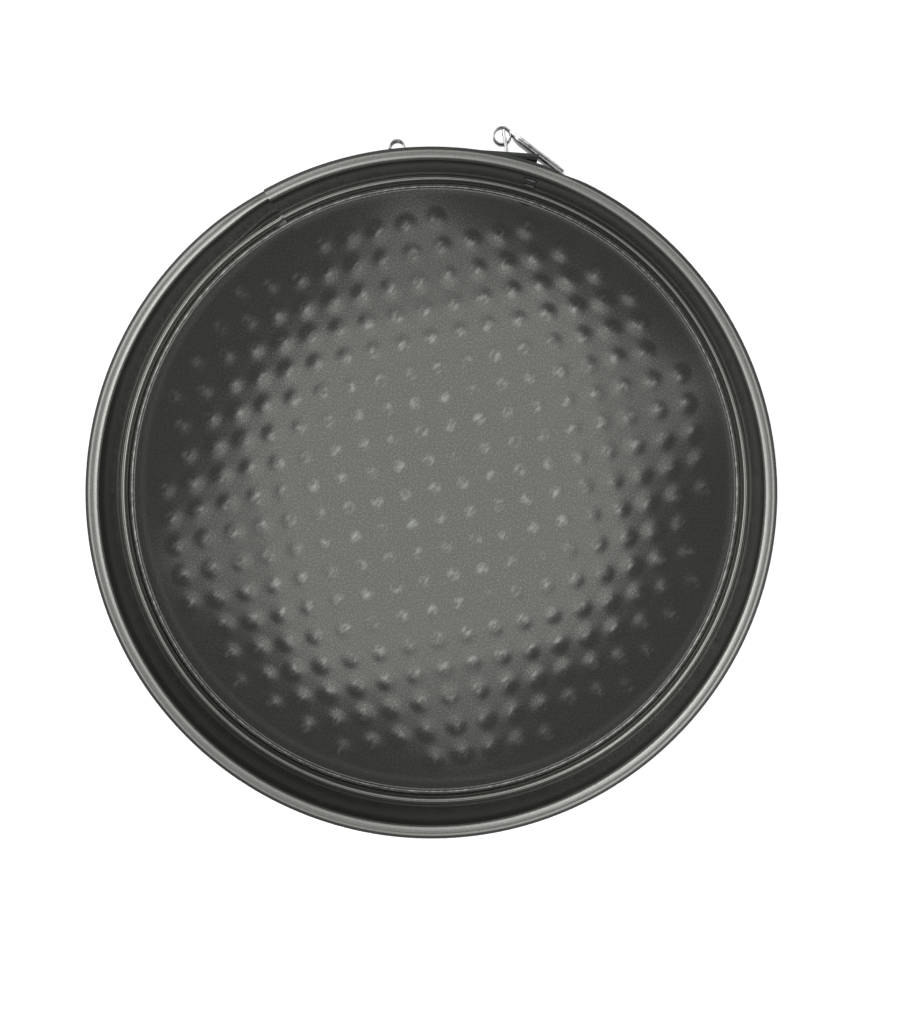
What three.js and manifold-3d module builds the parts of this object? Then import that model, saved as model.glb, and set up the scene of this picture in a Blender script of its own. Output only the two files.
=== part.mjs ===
// Springform cake pan with its latch open: a rolled steel band standing round a loose base.
// Millimetres, +Z up. Angles run clockwise from +Y as seen from above.
import * as THREE from 'three';
import { mergeVertices } from 'three/addons/utils/BufferGeometryUtils.js';
import Module from 'manifold-3d';

const wasm = await Module();
wasm.setup();

// Sheet and clearances
const SHEET = 0.6;
const LAYER_GAP = 0.6;
const FIT_GAP = 0.25;
const RIVET_SEAT_GAP = 0.15;
const PIN_CLEARANCE = 0.2;
const KNUCKLE_GAP = 0.3;
const BASE_CLEARANCE = 0.4;
const FLANGE_CLEARANCE = 0.6;
const BAIL_GAP = 0.4;
const BAIL_PLAY = 0.36;
const BAIL_REST_GAP = 0.9;

// Band, relaxed because the latch is open
const BAND_TOP = 65;
const WALL_INNER_R = 132.7;
const WALL_R = WALL_INNER_R + SHEET / 2;
const WALL_OUTER_R = WALL_INNER_R + SHEET;
const RIM_ROLL_R = 2.4;
const LIP_INSET = 3;
const GROOVE_INSET = 0.5;
const GROOVE_HEIGHT = 2.8;
const BEAD_INSET = 2.8;
const BEAD_HEIGHT = 6.4;
const BEAD_SPREAD = 4.8;
const BAND_STEP_DEG = 5;

// Overlap of the strip's two ends
const INNER_END_DEG = -29;
const JOGGLE_START_DEG = 320;
const TAIL_R = WALL_OUTER_R + LAYER_GAP + SHEET / 2;
const TAIL_OUTER_R = TAIL_R + SHEET / 2;
const TAIL_DROP = 2.5;
const TAIL_TOP = BAND_TOP - TAIL_DROP;
const TAIL_ROLL_R = 1.75;
const TAIL_STRAIGHT_FROM_DEG = 363.7;
const TAIL_END_DEG = 377.7;
const HOOD_REACH = 4.8;
const HOOD_DROP = 1.3;
const HOOD_END_DEG = 19;
const ROLL_AGAIN_DEG = 27;

// Base, dropped inside the band's lip and bead
const BASE_SHEET = 0.7;
const BASE_OUTER_R = WALL_R - Math.max(LIP_INSET, BEAD_INSET + SHEET / 2) - BASE_CLEARANCE;
const FLANGE_WIDTH = 1;
const STEP_RUN = 0.9;
const BASE_STEP_R = BASE_OUTER_R - FLANGE_WIDTH;
const BASE_FLOOR_R = BASE_STEP_R - STEP_RUN;
const BASE_FLANGE_TOP = SHEET + FLANGE_CLEARANCE + BASE_SHEET;
const BASE_SEGMENTS = 72;
const BUMP_PITCH = 12.5;
const BUMP_R = 3.2;
const BUMP_HEIGHT = 0.2;
const BUMP_ROW_DEG = 12.4;
const BUMP_EDGE_MARGIN = 2;
const BUMP_FIELD_R = BASE_FLOOR_R - 4.2;
const BUMP_LIMIT_R = BUMP_FIELD_R - BUMP_R - BUMP_EDGE_MARGIN;

// Rivets of the latch
const LATCH_Z = 36;
const RIVET_RISE = 10;
const RIVET_SHANK_R = 1.5;
const RIVET_HEAD_R = 3;
const RIVET_HEAD_HEIGHT = 1.4;
const RIVET_INNER_HEIGHT = 0.9;
const RIVET_HOLE_R = RIVET_SHANK_R + FIT_GAP;
const PLATE_HALF_HEIGHT = RIVET_RISE + RIVET_HEAD_R + 0.5;

// Lever, its pin and its bracket
const LEVER_SHEET = 0.8;
const PIN_R = 1;
const PIN_HEAD_R = 1.7;
const PIN_HEAD_HEIGHT = 0.6;
const KNUCKLE_R = PIN_R + PIN_CLEARANCE + LEVER_SHEET / 2;
const KNUCKLE_OUTER_R = KNUCKLE_R + LEVER_SHEET / 2;
const LEVER_KNUCKLE_HALF = 3.5;
const FINGER_HEIGHT = 4;
const FINGER_FROM = LEVER_KNUCKLE_HALF + KNUCKLE_GAP;
const BRACKET_SHEET = 0.8;
const BRACKET_R = WALL_OUTER_R + FIT_GAP + BRACKET_SHEET / 2;
const BRACKET_FROM_DEG = 13.5;
const BRACKET_TO_DEG = 29;
const BRACKET_RIVET_DEG = 17.5;
const PIVOT_STANDOFF = 4.1;
const PIVOT_R = WALL_OUTER_R + PIVOT_STANDOFF;
const PIVOT_DEG = 23.9;
const LEVER_OPEN_DEG = 13.2;
const LEVER_DEG = 180 - PIVOT_DEG - LEVER_OPEN_DEG;
const LEVER_LENGTH = 33.8;
const LEVER_BODY_HALF = 7.5;
const LEVER_NECK = KNUCKLE_OUTER_R + 1.8;
const LEVER_HEM = 1.5;
const LEVER_HEM_HEIGHT = 2;
const EYE_INNER_R = 3.1;
const EYE_OUTER_R = EYE_INNER_R + LEVER_SHEET;
const EYE_OFFSET = 2;
const EYE_HALF_HEIGHT = 4;
const EYE_NECK = 6;

// Wire bail in the lever's eye
const BAIL_WIRE_R = 0.65;
const BAIL_CORNER_R = 1.3;
const BAIL_LENGTH = 13.5;
const BAIL_SEAT_R = EYE_INNER_R - BAIL_WIRE_R - BAIL_PLAY;
const BAIL_SEAT_DEG = 73.3;

// Keeper hook on the tail
const KEEPER_SHEET = 1;
const KEEPER_R = TAIL_OUTER_R + FIT_GAP + KEEPER_SHEET / 2;
const KEEPER_DEG = -5.2;
const KEEPER_HALF_WIDTH = 6;
const KEEPER_TONGUE_HALF = EYE_HALF_HEIGHT;
const KEEPER_REACH = 9.2;
const KEEPER_MOUTH = 6.2;

const group = new THREE.Group();
group.name = 'springform_cake_pan';

const coated = new THREE.MeshStandardMaterial({ color: 0x3a3d3b, roughness: 0.45, metalness: 0.6 });
const plated = new THREE.MeshStandardMaterial({ color: 0xd3d5d6, roughness: 0.2, metalness: 1 });

const radians = (degrees) => (degrees * Math.PI) / 180;
const mix = (a, b, t) => a + (b - a) * t;

function polar(r, degrees) {
  return [r * Math.sin(radians(degrees)), r * Math.cos(radians(degrees))];
}

function ease(value, from, to) {
  const t = Math.min(1, Math.max(0, (value - from) / (to - from)));
  return t * t * (3 - 2 * t);
}

// A sheet seen edge on: a closed outline at half the thickness on both sides of a line.
function ribbon(line, thickness) {
  const left = [];
  const right = [];
  for (let i = 0; i < line.length; i += 1) {
    const before = line[Math.max(0, i - 1)];
    const after = line[Math.min(line.length - 1, i + 1)];
    const a = new THREE.Vector2(line[i][0] - before[0], line[i][1] - before[1]);
    const b = new THREE.Vector2(after[0] - line[i][0], after[1] - line[i][1]);
    if (i === 0) a.copy(b);
    if (i === line.length - 1) b.copy(a);
    a.normalize();
    b.normalize();
    const bisector = a.clone().add(b).normalize();
    const reach = thickness / 2 / Math.max(0.5, bisector.dot(a));
    left.push([line[i][0] - bisector.y * reach, line[i][1] + bisector.x * reach]);
    right.push([line[i][0] + bisector.y * reach, line[i][1] - bisector.x * reach]);
  }
  return left.concat(right.reverse());
}

function circle(x, y, r, count) {
  const points = [];
  for (let i = 0; i < count; i += 1) {
    const angle = (2 * Math.PI * i) / count;
    points.push([x + r * Math.cos(angle), y + r * Math.sin(angle)]);
  }
  return points;
}

function bare(geometry) {
  const copy = geometry.clone();
  copy.deleteAttribute('normal');
  copy.deleteAttribute('uv');
  return mergeVertices(copy, 1e-5);
}

function solid(geometry) {
  const welded = bare(geometry);
  return new wasm.Manifold(new wasm.Mesh({
    numProp: 3,
    vertProperties: new Float32Array(welded.attributes.position.array),
    triVerts: new Uint32Array(welded.index.array),
  }));
}

function shape(manifold) {
  const mesh = manifold.getMesh();
  const points = [];
  for (let i = 0; i < mesh.numVert; i += 1) {
    for (let k = 0; k < 3; k += 1) {
      points.push(mesh.vertProperties[i * mesh.numProp + k]);
    }
  }
  const geometry = new THREE.BufferGeometry();
  geometry.setAttribute('position', new THREE.Float32BufferAttribute(points, 3));
  geometry.setIndex(Array.from(mesh.triVerts));
  return geometry;
}

function slab(outline, z0, z1) {
  const contour = new THREE.Shape(outline.map((p) => new THREE.Vector2(p[0], p[1])));
  const geometry = new THREE.ExtrudeGeometry(contour, { depth: z1 - z0, bevelEnabled: false });
  geometry.translate(0, 0, z0);
  return solid(geometry);
}

function add(name, geometry, material) {
  const finished = geometry.index ? geometry.toNonIndexed() : geometry.clone();
  finished.deleteAttribute('normal');
  finished.computeVertexNormals();
  const mesh = new THREE.Mesh(finished, material);
  mesh.name = name;
  group.add(mesh);
}

// A turned piece whose axis points straight out from the pan's centre.
function turnedOut(profile, segments, degrees, z) {
  const points = profile.map((p) => new THREE.Vector2(p[0], p[1]));
  const geometry = new THREE.LatheGeometry(points, segments);
  geometry.rotateZ(radians(-degrees));
  geometry.translate(0, 0, z);
  return geometry;
}

function drilled(target, r0, r1, radius, degrees, z) {
  const bore = turnedOut([[0, r0], [radius, r0], [radius, r1], [0, r1]], 10, degrees, z);
  return target.subtract(solid(bore));
}

// Band: one strip from its inner end, once round, to the tail that overlaps it outside
const BEAD_LINE = [
  [GROOVE_INSET, GROOVE_HEIGHT],
  [mix(GROOVE_INSET, BEAD_INSET, 0.57), mix(GROOVE_HEIGHT, BEAD_HEIGHT, 0.44)],
  [BEAD_INSET, BEAD_HEIGHT],
  [BEAD_INSET * 0.75, BEAD_HEIGHT + BEAD_SPREAD * 0.42],
  [0, BEAD_HEIGHT + BEAD_SPREAD],
];
const FORMED_FOOT = [
  [LIP_INSET, SHEET / 2], [GROOVE_INSET + 0.8, SHEET / 2], [GROOVE_INSET, SHEET / 2 + 0.8],
].concat(BEAD_LINE);
const TAIL_FOOT = [
  [GROOVE_INSET, SHEET * 1.5], [GROOVE_INSET, SHEET * 1.5 + 0.4], [GROOVE_INSET, SHEET * 1.5 + 0.8],
].concat(BEAD_LINE);
const HOOD_CROWN = BAND_TOP - SHEET / 2;
const HOOD = [
  [0, 3.1], [0.093, 1.3], [0.296, 0.2], [0.5, 0], [0.722, 0.2], [0.889, 0.7], [1, HOOD_DROP],
].map((p) => [p[0] * HOOD_REACH, HOOD_CROWN - p[1]]);

function rolled(rollR, top) {
  const points = [];
  for (let degrees = 180; degrees >= -90; degrees -= 45) {
    const out = rollR + rollR * Math.cos(radians(degrees));
    points.push([out, top - SHEET / 2 - rollR + rollR * Math.sin(radians(degrees))]);
  }
  return points;
}

function bandSection(degrees) {
  const tail = ease(degrees, JOGGLE_START_DEG, 360 + INNER_END_DEG);
  const hood = 1 - ease(degrees, HOOD_END_DEG, ROLL_AGAIN_DEG);
  const beyond = Math.max(0, degrees - TAIL_STRAIGHT_FROM_DEG);
  const wallR = mix(WALL_R, TAIL_R, tail) / Math.cos(radians(beyond));
  const line = FORMED_FOOT.map((formed, i) => [
    wallR - mix(formed[0], TAIL_FOOT[i][0], tail),
    mix(formed[1], TAIL_FOOT[i][1], tail),
  ]);
  const roll = rolled(mix(RIM_ROLL_R, TAIL_ROLL_R, tail), mix(BAND_TOP, TAIL_TOP, tail));
  roll.forEach((point, i) => {
    line.push([wallR + mix(point[0], HOOD[i][0], hood), mix(point[1], HOOD[i][1], hood)]);
  });
  return ribbon(line, SHEET);
}

function bandStations() {
  const stations = [INNER_END_DEG];
  const runs = [
    [INNER_END_DEG, JOGGLE_START_DEG, BAND_STEP_DEG],
    [JOGGLE_START_DEG, 360 + INNER_END_DEG, BAND_STEP_DEG / 2],
    [360 + INNER_END_DEG, TAIL_STRAIGHT_FROM_DEG, BAND_STEP_DEG],
    [TAIL_STRAIGHT_FROM_DEG, TAIL_END_DEG, BAND_STEP_DEG],
  ];
  runs.forEach((run) => {
    const count = Math.ceil((run[1] - run[0]) / run[2]);
    for (let i = 1; i <= count; i += 1) {
      stations.push(mix(run[0], run[1], i / count));
    }
  });
  return stations;
}

function bandGeometry() {
  const stations = bandStations();
  const positions = [];
  const faces = [];
  const count = bandSection(stations[0]).length;
  stations.forEach((degrees) => {
    bandSection(degrees).forEach((point) => {
      positions.push(...polar(point[0], degrees), point[1]);
    });
  });
  for (let i = 0; i < stations.length - 1; i += 1) {
    for (let j = 0; j < count; j += 1) {
      const a = i * count + j;
      const b = i * count + ((j + 1) % count);
      faces.push(a, a + count, b, b, a + count, b + count);
    }
  }
  const half = count / 2;
  const last = (stations.length - 1) * count;
  for (let j = 0; j < half - 1; j += 1) {
    const k = count - 1 - j;
    faces.push(j, j + 1, k, j + 1, k - 1, k);
    faces.push(last + j, last + k, last + j + 1, last + j + 1, last + k, last + k - 1);
  }
  const geometry = new THREE.BufferGeometry();
  geometry.setAttribute('position', new THREE.Float32BufferAttribute(positions, 3));
  geometry.setIndex(faces);
  return geometry;
}

const rivetHeights = [LATCH_Z + RIVET_RISE, LATCH_Z - RIVET_RISE];
let band = solid(bandGeometry());
if (band.volume() < 0) {
  const flipped = bandGeometry();
  flipped.setIndex(Array.from(flipped.index.array).reverse());
  band = solid(flipped);
}
rivetHeights.forEach((z) => {
  const between = WALL_OUTER_R + LAYER_GAP / 2;
  band = drilled(band, WALL_INNER_R - 2, between, RIVET_HOLE_R, BRACKET_RIVET_DEG, z);
  band = drilled(band, between, TAIL_OUTER_R + 1, RIVET_HOLE_R, KEEPER_DEG, z);
});
add('band', shape(band), coated);

// Base plate: dished sheet with a raised flange and a field of pressed bumps
function bumpCentres() {
  const centres = [];
  const reach = Math.ceil(BUMP_LIMIT_R / BUMP_PITCH);
  const turn = radians(BUMP_ROW_DEG);
  for (let i = -reach; i <= reach; i += 1) {
    for (let j = -reach; j <= reach; j += 1) {
      const x = i * BUMP_PITCH;
      const y = j * BUMP_PITCH;
      if (Math.hypot(x, y) <= BUMP_LIMIT_R) {
        centres.push([x * Math.cos(turn) - y * Math.sin(turn), x * Math.sin(turn) + y * Math.cos(turn)]);
      }
    }
  }
  return centres;
}

function baseGeometry() {
  const vertices = [];
  const faces = [];
  const put = (x, y, z) => vertices.push([x, y, z]) - 1;
  const ringAt = (r, z) => circle(0, 0, r, BASE_SEGMENTS).map((p) => put(p[0], p[1], z));
  const join = (inner, outer) => {
    for (let i = 0; i < BASE_SEGMENTS; i += 1) {
      const k = (i + 1) % BASE_SEGMENTS;
      faces.push([inner[i], outer[i], outer[k]], [inner[i], outer[k], inner[k]]);
    }
  };
  const field = ringAt(BUMP_FIELD_R, BASE_SHEET);
  const holes = bumpCentres().map((c) => circle(c[0], c[1], BUMP_R, 6));
  const contour = field.map((index) => new THREE.Vector2(vertices[index][0], vertices[index][1]));
  const openings = holes.map((hole) => hole.map((p) => new THREE.Vector2(p[0], p[1])).reverse());
  const rims = openings.map((hole) => hole.map((p) => put(p.x, p.y, BASE_SHEET)));
  const order = field.concat(...rims);
  THREE.ShapeUtils.triangulateShape(contour, openings).forEach((face) => {
    faces.push(face.map((index) => order[index]));
  });
  bumpCentres().forEach((c, index) => {
    const crown = put(c[0], c[1], BASE_SHEET + BUMP_HEIGHT);
    const rim = rims[index];
    rim.forEach((vertex, i) => {
      faces.push([crown, rim[(i + 1) % rim.length], vertex]);
    });
  });
  const sections = [
    [BASE_FLOOR_R, BASE_SHEET],
    [BASE_STEP_R, BASE_FLANGE_TOP - 0.2],
    [BASE_STEP_R + 0.5, BASE_FLANGE_TOP],
    [BASE_OUTER_R, BASE_FLANGE_TOP],
    [BASE_OUTER_R, BASE_FLANGE_TOP - BASE_SHEET],
    [BASE_STEP_R + 0.7, BASE_FLANGE_TOP - BASE_SHEET],
    [BASE_FLOOR_R + 0.5, 0],
  ];
  let previous = field;
  sections.forEach((section) => {
    const next = ringAt(section[0], section[1]);
    join(previous, next);
    previous = next;
  });
  const middle = put(0, 0, 0);
  previous.forEach((vertex, i) => {
    faces.push([vertex, middle, previous[(i + 1) % BASE_SEGMENTS]]);
  });
  const geometry = new THREE.BufferGeometry();
  geometry.setAttribute('position', new THREE.Float32BufferAttribute(vertices.flat(), 3));
  geometry.setIndex(faces.flat());
  return geometry;
}

add('base_plate', shape(solid(baseGeometry())), coated);

// Keeper: a riveted plate with a tongue bent out and round into a hook that opens to the left
function local(degrees, r, across) {
  const along = polar(1, degrees);
  return [along[0] * r + along[1] * across, along[1] * r - along[0] * across];
}

const plateZ = [LATCH_Z - PLATE_HALF_HEIGHT, LATCH_Z + PLATE_HALF_HEIGHT];
const keeperPlate = [];
for (let i = -2; i <= 2; i += 1) {
  const across = (KEEPER_HALF_WIDTH * i) / 2;
  keeperPlate.push(local(KEEPER_DEG, Math.sqrt(KEEPER_R * KEEPER_R - across * across), across));
}
const hookTop = KEEPER_R + KEEPER_REACH;
const hookRight = 1.3;
const hookLeft = hookRight - KEEPER_MOUTH;
const hookR = KEEPER_MOUTH / 2;
const hookBend = [0, 30, 60, 90, 120, 150, 180].map((turn) => [
  hookTop - hookR + hookR * Math.sin(radians(turn)), hookRight - hookR + hookR * Math.cos(radians(turn)),
]);
const hookLine = [[KEEPER_R - 0.2, hookRight], ...hookBend, [hookTop - hookR - 0.4, hookLeft]]
  .map((p) => local(KEEPER_DEG, p[0], p[1]));
let keeper = slab(ribbon(keeperPlate, KEEPER_SHEET), plateZ[0], plateZ[1]);
keeper = keeper.add(slab(
  ribbon(hookLine, KEEPER_SHEET), LATCH_Z - KEEPER_TONGUE_HALF, LATCH_Z + KEEPER_TONGUE_HALF,
));
rivetHeights.forEach((z) => {
  keeper = drilled(keeper, TAIL_R, KEEPER_R + 2, RIVET_HOLE_R, KEEPER_DEG, z);
});
add('keeper_hook', shape(keeper), plated);

const keeperFace = KEEPER_R + KEEPER_SHEET / 2 + RIVET_SEAT_GAP;
const keeperRivet = [
  [0, TAIL_R - SHEET / 2], [RIVET_SHANK_R, TAIL_R - SHEET / 2], [RIVET_SHANK_R, keeperFace],
  [RIVET_HEAD_R, keeperFace], [RIVET_HEAD_R * 0.87, keeperFace + RIVET_HEAD_HEIGHT * 0.5],
  [RIVET_HEAD_R * 0.5, keeperFace + RIVET_HEAD_HEIGHT * 0.87], [0, keeperFace + RIVET_HEAD_HEIGHT],
];
add('keeper_rivet_upper', turnedOut(keeperRivet, 10, KEEPER_DEG, rivetHeights[0]), plated);
add('keeper_rivet_lower', turnedOut(keeperRivet, 10, KEEPER_DEG, rivetHeights[1]), plated);

// Bracket: a plate under the tail, folded back on itself into two fingers that carry the pin
const pivot = polar(PIVOT_R, PIVOT_DEG);
const bracketPlate = [];
for (let i = 0; i <= 5; i += 1) {
  bracketPlate.push(polar(BRACKET_R, mix(BRACKET_FROM_DEG, BRACKET_TO_DEG, i / 5)));
}
const fingerR = PIVOT_R - KNUCKLE_R;
const foldR = (fingerR - BRACKET_R) / 2;
const finger = bracketPlate.slice(-2);
[60, 0, -60].forEach((turn) => {
  const out = (fingerR + BRACKET_R) / 2 - foldR * Math.sin(radians(turn));
  finger.push(local(BRACKET_TO_DEG, out, foldR * Math.cos(radians(turn))));
});
[0.1, 0.6, 1].forEach((t) => finger.push(polar(fingerR, mix(BRACKET_TO_DEG, PIVOT_DEG, t))));
const barrel = circle(pivot[0], pivot[1], KNUCKLE_OUTER_R, 16);
const bore = circle(pivot[0], pivot[1], PIN_R + PIN_CLEARANCE, 12);
let bracket = slab(ribbon(bracketPlate, BRACKET_SHEET), plateZ[0], plateZ[1]);
[LATCH_Z - FINGER_FROM - FINGER_HEIGHT, LATCH_Z + FINGER_FROM].forEach((z) => {
  bracket = bracket.add(slab(ribbon(finger, BRACKET_SHEET), z, z + FINGER_HEIGHT));
  bracket = bracket.add(slab(barrel, z, z + FINGER_HEIGHT));
});
bracket = bracket.subtract(slab(bore, plateZ[0], plateZ[1]));
rivetHeights.forEach((z) => {
  bracket = drilled(bracket, WALL_OUTER_R, BRACKET_R + 1.5, RIVET_HOLE_R, BRACKET_RIVET_DEG, z);
});
add('lever_bracket', shape(bracket), plated);

const bracketFace = BRACKET_R + BRACKET_SHEET / 2 + RIVET_SEAT_GAP;
const headSeat = WALL_INNER_R - FIT_GAP;
const bracketRivet = [
  [0, headSeat - RIVET_INNER_HEIGHT], [RIVET_HEAD_R * 0.5, headSeat - RIVET_INNER_HEIGHT * 0.87],
  [RIVET_HEAD_R * 0.87, headSeat - RIVET_INNER_HEIGHT * 0.5], [RIVET_HEAD_R, headSeat],
  [RIVET_SHANK_R, headSeat], [RIVET_SHANK_R, bracketFace], [RIVET_SHANK_R + 1, bracketFace],
  [RIVET_SHANK_R + 0.6, bracketFace + 0.6], [0, bracketFace + 0.7],
];
add('bracket_rivet_upper', turnedOut(bracketRivet, 10, BRACKET_RIVET_DEG, rivetHeights[0]), plated);
add('bracket_rivet_lower', turnedOut(bracketRivet, 10, BRACKET_RIVET_DEG, rivetHeights[1]), plated);

// Pin: headed at both ends, held in the bracket's fingers
const pinHalf = FINGER_FROM + FINGER_HEIGHT + RIVET_SEAT_GAP;
const pinEnd = pinHalf + PIN_HEAD_HEIGHT;
const pinProfile = [
  [0, -pinEnd], [PIN_HEAD_R * 0.8, -pinEnd], [PIN_HEAD_R, -pinHalf], [PIN_R, -pinHalf],
  [PIN_R, pinHalf], [PIN_HEAD_R, pinHalf], [PIN_HEAD_R * 0.8, pinEnd], [0, pinEnd],
].map((p) => new THREE.Vector2(p[0], p[1]));
const pin = new THREE.LatheGeometry(pinProfile, 12);
pin.rotateX(Math.PI / 2);
pin.translate(pivot[0], pivot[1], LATCH_Z);
add('lever_pin', pin, plated);

// Lever: a strip with hemmed edges, curled round the pin at one end and into an open eye at the other
const leverAlong = [Math.cos(radians(LEVER_DEG)), Math.sin(radians(LEVER_DEG))];
const leverOut = [leverAlong[1], -leverAlong[0]];
const onLever = (along, side) => [
  pivot[0] + leverAlong[0] * along + leverOut[0] * side,
  pivot[1] + leverAlong[1] * along + leverOut[1] * side,
];
const eye = onLever(LEVER_LENGTH, KNUCKLE_R - EYE_OFFSET);
const eyeWallR = (EYE_INNER_R + EYE_OUTER_R) / 2;
const stripEnd = LEVER_LENGTH - Math.sqrt(eyeWallR * eyeWallR - EYE_OFFSET * EYE_OFFSET);
const bodyEnd = LEVER_LENGTH - EYE_NECK;
function leverStrip(from, to, halfHeight) {
  const line = [onLever(from, KNUCKLE_R), onLever(to, KNUCKLE_R)];
  return slab(ribbon(line, LEVER_SHEET), LATCH_Z - halfHeight, LATCH_Z + halfHeight);
}
let lever = slab(barrel, LATCH_Z - LEVER_KNUCKLE_HALF, LATCH_Z + LEVER_KNUCKLE_HALF);
lever = lever.add(leverStrip(0, LEVER_NECK + 1, LEVER_KNUCKLE_HALF));
lever = lever.add(leverStrip(LEVER_NECK, bodyEnd, LEVER_BODY_HALF));
lever = lever.add(leverStrip(bodyEnd - 1, stripEnd, EYE_HALF_HEIGHT));
const hemSide = KNUCKLE_R + (LEVER_SHEET + LEVER_HEM) / 2 - 0.05;
const hemLine = ribbon([onLever(LEVER_NECK + 0.4, hemSide), onLever(bodyEnd - 0.4, hemSide)], LEVER_HEM);
[LATCH_Z - LEVER_BODY_HALF, LATCH_Z + LEVER_BODY_HALF - LEVER_HEM_HEIGHT].forEach((z) => {
  lever = lever.add(slab(hemLine, z, z + LEVER_HEM_HEIGHT));
});
lever = lever.add(slab(
  circle(eye[0], eye[1], EYE_OUTER_R, 24), LATCH_Z - EYE_HALF_HEIGHT, LATCH_Z + EYE_HALF_HEIGHT,
));
lever = lever.subtract(slab(circle(eye[0], eye[1], EYE_INNER_R, 24), plateZ[0], plateZ[1]));
lever = lever.subtract(slab(bore, plateZ[0], plateZ[1]));
add('lever', shape(lever), plated);

// Bail: a closed wire loop hung in the lever's eye, leaning towards the tail's straight end
function bailGeometry() {
  const halfHeight = EYE_HALF_HEIGHT + BAIL_GAP + BAIL_CORNER_R;
  const seat = [
    eye[0] + BAIL_SEAT_R * Math.cos(radians(BAIL_SEAT_DEG)),
    eye[1] + BAIL_SEAT_R * Math.sin(radians(BAIL_SEAT_DEG)),
  ];
  const facing = polar(1, TAIL_STRAIGHT_FROM_DEG);
  const restFace = TAIL_OUTER_R + BAIL_REST_GAP + BAIL_WIRE_R;
  const drop = seat[0] * facing[0] + seat[1] * facing[1] - restFace;
  const lean = Math.acos(Math.min(1, drop / BAIL_LENGTH));
  const hang = Math.atan2(-facing[1], -facing[0]) + lean;
  const direction = [Math.cos(hang), Math.sin(hang)];
  const corners = [
    [BAIL_CORNER_R, -halfHeight + BAIL_CORNER_R, 180],
    [BAIL_LENGTH - BAIL_CORNER_R, -halfHeight + BAIL_CORNER_R, 270],
    [BAIL_LENGTH - BAIL_CORNER_R, halfHeight - BAIL_CORNER_R, 0],
    [BAIL_CORNER_R, halfHeight - BAIL_CORNER_R, 90],
  ];
  const sides = 8;
  const positions = [];
  corners.forEach((corner) => {
    [0, 30, 60, 90].forEach((turn) => {
      const angle = radians(corner[2] + turn);
      for (let k = 0; k < sides; k += 1) {
        const around = (2 * Math.PI * k) / sides;
        const reach = BAIL_CORNER_R + BAIL_WIRE_R * Math.cos(around);
        const along = corner[0] + reach * Math.cos(angle);
        const side = BAIL_WIRE_R * Math.sin(around);
        positions.push(
          seat[0] + direction[0] * along - direction[1] * side,
          seat[1] + direction[1] * along + direction[0] * side,
          LATCH_Z + corner[1] + reach * Math.sin(angle),
        );
      }
    });
  });
  const rings = corners.length * 4;
  const faces = [];
  for (let i = 0; i < rings; i += 1) {
    for (let k = 0; k < sides; k += 1) {
      const next = ((i + 1) % rings) * sides;
      const a = i * sides + k;
      const b = i * sides + ((k + 1) % sides);
      faces.push(a, b, next + k, b, next + ((k + 1) % sides), next + k);
    }
  }
  const geometry = new THREE.BufferGeometry();
  geometry.setAttribute('position', new THREE.Float32BufferAttribute(positions, 3));
  geometry.setIndex(faces);
  return geometry;
}

let bail = solid(bailGeometry());
if (bail.volume() < 0) {
  const flipped = bailGeometry();
  flipped.setIndex(Array.from(flipped.index.array).reverse());
  bail = solid(flipped);
}
add('wire_bail', shape(bail), plated);

export default group;
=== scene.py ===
"""Springform cake pan with its latch open, seen from straight above on a pale floor."""
import math

import bmesh
import bpy
from mathutils import Euler, Matrix, Vector
from mathutils.geometry import delaunay_2d_cdt


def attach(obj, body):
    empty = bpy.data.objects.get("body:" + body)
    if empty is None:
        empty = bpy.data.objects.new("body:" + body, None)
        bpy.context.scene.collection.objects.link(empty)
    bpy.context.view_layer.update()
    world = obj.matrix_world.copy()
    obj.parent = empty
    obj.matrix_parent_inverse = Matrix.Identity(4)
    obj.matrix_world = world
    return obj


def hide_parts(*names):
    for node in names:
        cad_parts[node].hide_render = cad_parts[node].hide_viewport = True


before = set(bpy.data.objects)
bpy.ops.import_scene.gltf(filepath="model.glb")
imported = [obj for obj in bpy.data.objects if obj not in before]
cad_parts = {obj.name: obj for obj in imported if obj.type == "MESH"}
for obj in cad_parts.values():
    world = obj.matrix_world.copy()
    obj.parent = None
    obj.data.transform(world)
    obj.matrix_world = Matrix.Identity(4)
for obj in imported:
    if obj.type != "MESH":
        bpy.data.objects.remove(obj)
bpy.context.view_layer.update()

MM = 0.001

# Sheet and clearances, in millimetres, as in the solids
SHEET = 0.6
LAYER_GAP = 0.6
FIT_GAP = 0.25
RIVET_SEAT_GAP = 0.15
BASE_CLEARANCE = 0.4
FLANGE_CLEARANCE = 0.6
BAIL_GAP = 0.4
BAIL_REST_GAP = 0.9

# Band
BAND_TOP = 65.0
WALL_INNER_R = 132.7
WALL_R = WALL_INNER_R + SHEET / 2
WALL_OUTER_R = WALL_INNER_R + SHEET
RIM_ROLL_R = 2.4
LIP_INSET = 3.0
GROOVE_INSET = 0.5
GROOVE_HEIGHT = 2.8
BEAD_INSET = 2.8
BEAD_HEIGHT = 6.4
BEAD_SPREAD = 4.8
BAND_STEP_DEG = 1.5

# Overlap of the strip's two ends
INNER_END_DEG = -29.0
JOGGLE_START_DEG = 320.0
TAIL_R = WALL_OUTER_R + LAYER_GAP + SHEET / 2
TAIL_OUTER_R = TAIL_R + SHEET / 2
TAIL_DROP = 2.5
TAIL_TOP = BAND_TOP - TAIL_DROP
TAIL_ROLL_R = 1.75
TAIL_STRAIGHT_FROM_DEG = 363.7
TAIL_END_DEG = 377.7
HOOD_REACH = 4.8
HOOD_DROP = 1.3
HOOD_END_DEG = 19.0
ROLL_AGAIN_DEG = 27.0
NEST_FROM_DEG = 360 + INNER_END_DEG - 0.8
NEST_TO_DEG = 360 + INNER_END_DEG - 0.2
JOGGLE_ABOVE = BEAD_HEIGHT + 2.2
PLAIN_WALL_TOP = TAIL_TOP - 5

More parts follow.
